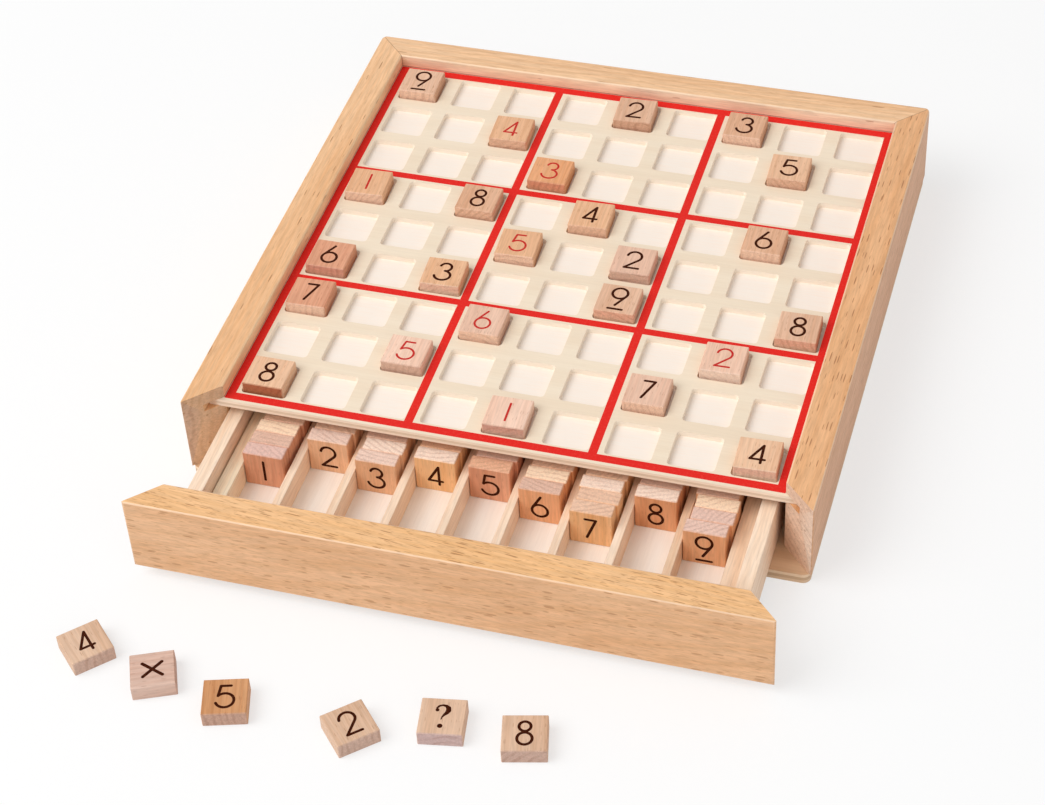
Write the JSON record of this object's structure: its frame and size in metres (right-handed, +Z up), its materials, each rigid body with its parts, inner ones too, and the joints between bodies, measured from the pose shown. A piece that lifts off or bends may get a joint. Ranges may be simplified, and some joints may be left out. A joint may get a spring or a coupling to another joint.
{
  "type": "sudoku board",
  "caption": "Square wooden sudoku board: a mitred frame holds a panel of pockets for number tiles, over a drawer with lanes that store spare tiles.",
  "frame": {"origin": "middle of the base panel's underside, on the table", "axes": "+Z up, -Y the way the drawer opens, +X to the player's right"},
  "size_m": [0.2428, 0.341, 0.0358],
  "materials": {
    "beech_moulding": "satin lacquer",
    "base_plywood": "bare plywood",
    "board_plywood": "bare plywood",
    "drawer_wood": "bare wood",
    "drawer_floor": "bare plywood",
    "tile_wood": "sanded beech",
    "red_print": "matt ink",
    "number_mark": "burnt mark"
  },
  "bodies": {
    "case": {"base_panel": "base_plywood", "left_rail": "beech_moulding", "right_rail": "beech_moulding", "back_rail": "beech_moulding", "board_panel": "board_plywood"},
    "drawer": {"drawer_front": "beech_moulding", "drawer_left_side": "drawer_wood", "drawer_right_side": "drawer_wood", "drawer_back": "drawer_wood", "drawer_bottom": "drawer_floor", "left_filler_strip": "drawer_wood", "right_filler_strip": "drawer_wood", "lane_divider_1": "drawer_wood", "lane_divider_2": "drawer_wood", "lane_divider_3": "drawer_wood", "lane_divider_4": "drawer_wood", "lane_divider_5": "drawer_wood", "lane_divider_6": "drawer_wood", "lane_divider_7": "drawer_wood", "lane_divider_8": "drawer_wood"},
    "lane_1_row": {"lane_1_tiles": "tile_wood"},
    "lane_2_row": {"lane_2_tiles": "tile_wood"},
    "lane_3_row": {"lane_3_tiles": "tile_wood"},
    "lane_4_row": {"lane_4_tiles": "tile_wood"},
    "lane_5_row": {"lane_5_tiles": "tile_wood"},
    "lane_6_row": {"lane_6_tiles": "tile_wood"},
    "lane_7_row": {"lane_7_tiles": "tile_wood"},
    "lane_8_row": {"lane_8_tiles": "tile_wood"},
    "lane_9_row": {"lane_9_tiles": "tile_wood"},
    "tile_row1_col1": {"tile_row1_col1": "tile_wood"},
    "tile_row1_col5": {"tile_row1_col5": "tile_wood"},
    "tile_row1_col7": {"tile_row1_col7": "tile_wood"},
    "tile_row2_col3": {"tile_row2_col3": "tile_wood"},
    "tile_row2_col8": {"tile_row2_col8": "tile_wood"},
    "tile_row3_col4": {"tile_row3_col4": "tile_wood"},
    "tile_row4_col1": {"tile_row4_col1": "tile_wood"},
    "tile_row4_col3": {"tile_row4_col3": "tile_wood"},
    "tile_row4_col5": {"tile_row4_col5": "tile_wood"},
    "tile_row4_col8": {"tile_row4_col8": "tile_wood"},
    "tile_row5_col4": {"tile_row5_col4": "tile_wood"},
    "tile_row5_col6": {"tile_row5_col6": "tile_wood"},
    "tile_row6_col1": {"tile_row6_col1": "tile_wood"},
    "tile_row6_col3": {"tile_row6_col3": "tile_wood"},
    "tile_row6_col6": {"tile_row6_col6": "tile_wood"},
    "tile_row6_col9": {"tile_row6_col9": "tile_wood"},
    "tile_row7_col1": {"tile_row7_col1": "tile_wood"},
    "tile_row7_col4": {"tile_row7_col4": "tile_wood"},
    "tile_row7_col8": {"tile_row7_col8": "tile_wood"},
    "tile_row8_col3": {"tile_row8_col3": "tile_wood"},
    "tile_row8_col7": {"tile_row8_col7": "tile_wood"},
    "tile_row9_col1": {"tile_row9_col1": "tile_wood"},
    "tile_row9_col5": {"tile_row9_col5": "tile_wood"},
    "tile_row9_col9": {"tile_row9_col9": "tile_wood"},
    "loose_tile_4": {"loose_tile_4": "tile_wood"},
    "loose_tile_times": {"loose_tile_times": "tile_wood"},
    "loose_tile_5": {"loose_tile_5": "tile_wood"},
    "loose_tile_2": {"loose_tile_2": "tile_wood"},
    "loose_tile_query": {"loose_tile_query": "tile_wood"},
    "loose_tile_8": {"loose_tile_8": "tile_wood"}
  },
  "joints": [
    {"name": "drawer_slide", "type": "slide", "parent": "case", "child": "drawer", "axis": [0, -1, 0], "range_m": [-0.0493, 0.019]},
    {"name": "lane_1_slide", "type": "slide", "parent": "drawer", "child": "lane_1_row", "axis": [0, -1, 0], "range_m": [0, 0.0328]},
    {"name": "lane_2_slide", "type": "slide", "parent": "drawer", "child": "lane_2_row", "axis": [0, -1, 0], "range_m": [0, 0.045]},
    {"name": "lane_3_slide", "type": "slide", "parent": "drawer", "child": "lane_3_row", "axis": [0, -1, 0], "range_m": [0, 0.0389]},
    {"name": "lane_4_slide", "type": "slide", "parent": "drawer", "child": "lane_4_row", "axis": [0, -1, 0], "range_m": [0, 0.045]},
    {"name": "lane_5_slide", "type": "slide", "parent": "drawer", "child": "lane_5_row", "axis": [0, -1, 0], "range_m": [0, 0.045]},
    {"name": "lane_6_slide", "type": "slide", "parent": "drawer", "child": "lane_6_row", "axis": [0, -1, 0], "range_m": [0, 0.0389]},
    {"name": "lane_7_slide", "type": "slide", "parent": "drawer", "child": "lane_7_row", "axis": [0, -1, 0], "range_m": [0, 0.0328]},
    {"name": "lane_8_slide", "type": "slide", "parent": "drawer", "child": "lane_8_row", "axis": [0, -1, 0], "range_m": [0, 0.045]},
    {"name": "lane_9_slide", "type": "slide", "parent": "drawer", "child": "lane_9_row", "axis": [0, -1, 0], "range_m": [0, 0.0328]},
    {"name": "tile_row1_col1_lift", "type": "slide", "parent": "case", "child": "tile_row1_col1", "axis": [0, 0, 1], "range_m": [0, 0.015]},
    {"name": "tile_row1_col5_lift", "type": "slide", "parent": "case", "child": "tile_row1_col5", "axis": [0, 0, 1], "range_m": [0, 0.015]},
    {"name": "tile_row1_col7_lift", "type": "slide", "parent": "case", "child": "tile_row1_col7", "axis": [0, 0, 1], "range_m": [0, 0.015]},
    {"name": "tile_row2_col3_lift", "type": "slide", "parent": "case", "child": "tile_row2_col3", "axis": [0, 0, 1], "range_m": [0, 0.015]},
    {"name": "tile_row2_col8_lift", "type": "slide", "parent": "case", "child": "tile_row2_col8", "axis": [0, 0, 1], "range_m": [0, 0.015]},
    {"name": "tile_row3_col4_lift", "type": "slide", "parent": "case", "child": "tile_row3_col4", "axis": [0, 0, 1], "range_m": [0, 0.015]},
    {"name": "tile_row4_col1_lift", "type": "slide", "parent": "case", "child": "tile_row4_col1", "axis": [0, 0, 1], "range_m": [0, 0.015]},
    {"name": "tile_row4_col3_lift", "type": "slide", "parent": "case", "child": "tile_row4_col3", "axis": [0, 0, 1], "range_m": [0, 0.015]},
    {"name": "tile_row4_col5_lift", "type": "slide", "parent": "case", "child": "tile_row4_col5", "axis": [0, 0, 1], "range_m": [0, 0.015]},
    {"name": "tile_row4_col8_lift", "type": "slide", "parent": "case", "child": "tile_row4_col8", "axis": [0, 0, 1], "range_m": [0, 0.015]},
    {"name": "tile_row5_col4_lift", "type": "slide", "parent": "case", "child": "tile_row5_col4", "axis": [0, 0, 1], "range_m": [0, 0.015]},
    {"name": "tile_row5_col6_lift", "type": "slide", "parent": "case", "child": "tile_row5_col6", "axis": [0, 0, 1], "range_m": [0, 0.015]},
    {"name": "tile_row6_col1_lift", "type": "slide", "parent": "case", "child": "tile_row6_col1", "axis": [0, 0, 1], "range_m": [0, 0.015]},
    {"name": "tile_row6_col3_lift", "type": "slide", "parent": "case", "child": "tile_row6_col3", "axis": [0, 0, 1], "range_m": [0, 0.015]},
    {"name": "tile_row6_col6_lift", "type": "slide", "parent": "case", "child": "tile_row6_col6", "axis": [0, 0, 1], "range_m": [0, 0.015]},
    {"name": "tile_row6_col9_lift", "type": "slide", "parent": "case", "child": "tile_row6_col9", "axis": [0, 0, 1], "range_m": [0, 0.015]},
    {"name": "tile_row7_col1_lift", "type": "slide", "parent": "case", "child": "tile_row7_col1", "axis": [0, 0, 1], "range_m": [0, 0.015]},
    {"name": "tile_row7_col4_lift", "type": "slide", "parent": "case", "child": "tile_row7_col4", "axis": [0, 0, 1], "range_m": [0, 0.015]},
    {"name": "tile_row7_col8_lift", "type": "slide", "parent": "case", "child": "tile_row7_col8", "axis": [0, 0, 1], "range_m": [0, 0.015]},
    {"name": "tile_row8_col3_lift", "type": "slide", "parent": "case", "child": "tile_row8_col3", "axis": [0, 0, 1], "range_m": [0, 0.015]},
    {"name": "tile_row8_col7_lift", "type": "slide", "parent": "case", "child": "tile_row8_col7", "axis": [0, 0, 1], "range_m": [0, 0.015]},
    {"name": "tile_row9_col1_lift", "type": "slide", "parent": "case", "child": "tile_row9_col1", "axis": [0, 0, 1], "range_m": [0, 0.015]},
    {"name": "tile_row9_col5_lift", "type": "slide", "parent": "case", "child": "tile_row9_col5", "axis": [0, 0, 1], "range_m": [0, 0.015]},
    {"name": "tile_row9_col9_lift", "type": "slide", "parent": "case", "child": "tile_row9_col9", "axis": [0, 0, 1], "range_m": [0, 0.015]},
    {"name": "loose_tile_4_lift", "type": "slide", "parent": "case", "child": "loose_tile_4", "axis": [0, 0, 1], "range_m": [0, 0.015]},
    {"name": "loose_tile_times_lift", "type": "slide", "parent": "case", "child": "loose_tile_times", "axis": [0, 0, 1], "range_m": [0, 0.015]},
    {"name": "loose_tile_5_lift", "type": "slide", "parent": "case", "child": "loose_tile_5", "axis": [0, 0, 1], "range_m": [0, 0.015]},
    {"name": "loose_tile_2_lift", "type": "slide", "parent": "case", "child": "loose_tile_2", "axis": [0, 0, 1], "range_m": [0, 0.015]},
    {"name": "loose_tile_query_lift", "type": "slide", "parent": "case", "child": "loose_tile_query", "axis": [0, 0, 1], "range_m": [0, 0.015]},
    {"name": "loose_tile_8_lift", "type": "slide", "parent": "case", "child": "loose_tile_8", "axis": [0, 0, 1], "range_m": [0, 0.015]}
  ]
}
